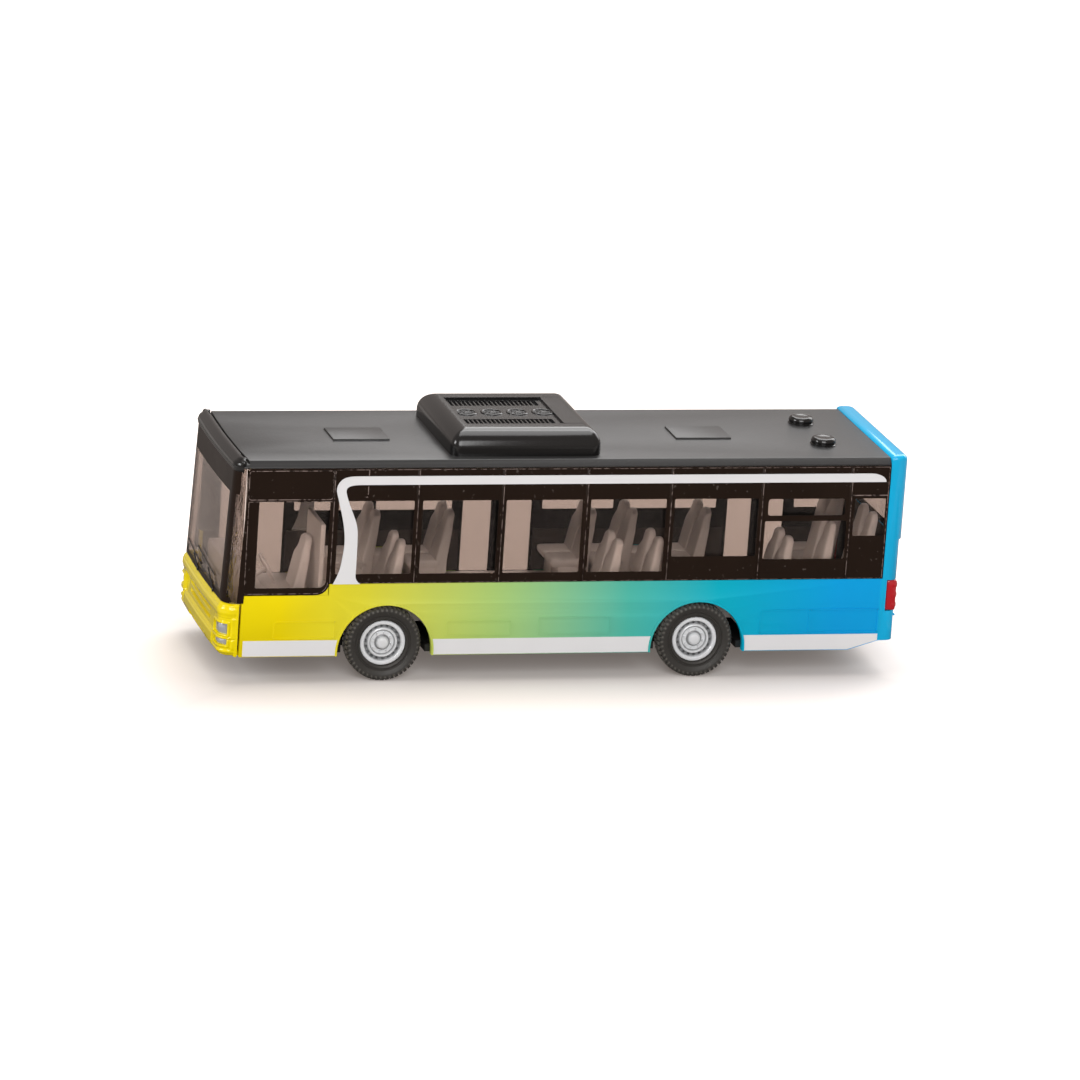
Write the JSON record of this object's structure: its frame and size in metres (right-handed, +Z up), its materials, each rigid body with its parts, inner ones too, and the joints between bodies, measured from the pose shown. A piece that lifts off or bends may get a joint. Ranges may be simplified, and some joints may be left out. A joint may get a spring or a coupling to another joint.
{
  "type": "toy city bus",
  "caption": "Small die-cast toy city bus with clear windows, seats inside, a roof-mounted air conditioner and axles that turn freely in a black chassis plate.",
  "frame": {"origin": "on the ground, under the middle of the body's length and width", "axes": "+X forward, +Y to the bus's left, +Z up"},
  "size_m": [0.0972, 0.0272, 0.0351],
  "materials": {
    "painted_body": "gloss",
    "clear_plastic": "gloss",
    "black_print": "gloss",
    "roof_plastic": "satin",
    "silver_print": "gloss",
    "red_lamp": "gloss",
    "interior_plastic": "satin",
    "chassis_plastic": "satin",
    "rivet_steel": "bright",
    "axle_steel": "bright",
    "hub_silver": "silver",
    "tyre": "matte"
  },
  "bodies": {
    "bus": {"body_casting": "painted_body", "nose": "painted_body", "windscreen": "clear_plastic", "side_glazing_left": "clear_plastic", "side_glazing_right": "clear_plastic", "window_print_left": "black_print", "window_print_right": "black_print", "rear_window": "clear_plastic", "roof_panel": "roof_plastic", "roof_unit": "roof_plastic", "roof_fans": "roof_plastic", "roof_vents": "roof_plastic", "wipers": "roof_plastic", "headlamp_left": "silver_print", "headlamp_right": "silver_print", "tail_lamp_left": "red_lamp", "tail_lamp_right": "red_lamp", "dashboard": "interior_plastic", "steering_wheel": "chassis_plastic", "driver_seat": "interior_plastic", "driver_partition": "interior_plastic", "cabin_floor": "interior_plastic", "wheel_boxes": "interior_plastic", "seats_left": "interior_plastic", "seats_right": "interior_plastic", "chassis_plate": "chassis_plastic", "rivets": "rivet_steel"},
    "front_wheelset": {"front_axle": "axle_steel", "front_hub_left": "hub_silver", "front_tyre_left": "tyre", "front_hub_right": "hub_silver", "front_tyre_right": "tyre"},
    "rear_wheelset": {"rear_axle": "axle_steel", "rear_hub_left": "hub_silver", "rear_tyre_left": "tyre", "rear_hub_right": "hub_silver", "rear_tyre_right": "tyre"}
  },
  "joints": [
    {"name": "front_wheels_turn", "type": "hinge", "parent": "bus", "child": "front_wheelset", "pos_m": [0.0249, 0, 0.00535], "axis": [0, 1, 0], "continuous": true},
    {"name": "rear_wheels_turn", "type": "hinge", "parent": "bus", "child": "rear_wheelset", "pos_m": [-0.0197, 0, 0.00535], "axis": [0, 1, 0], "continuous": true}
  ]
}
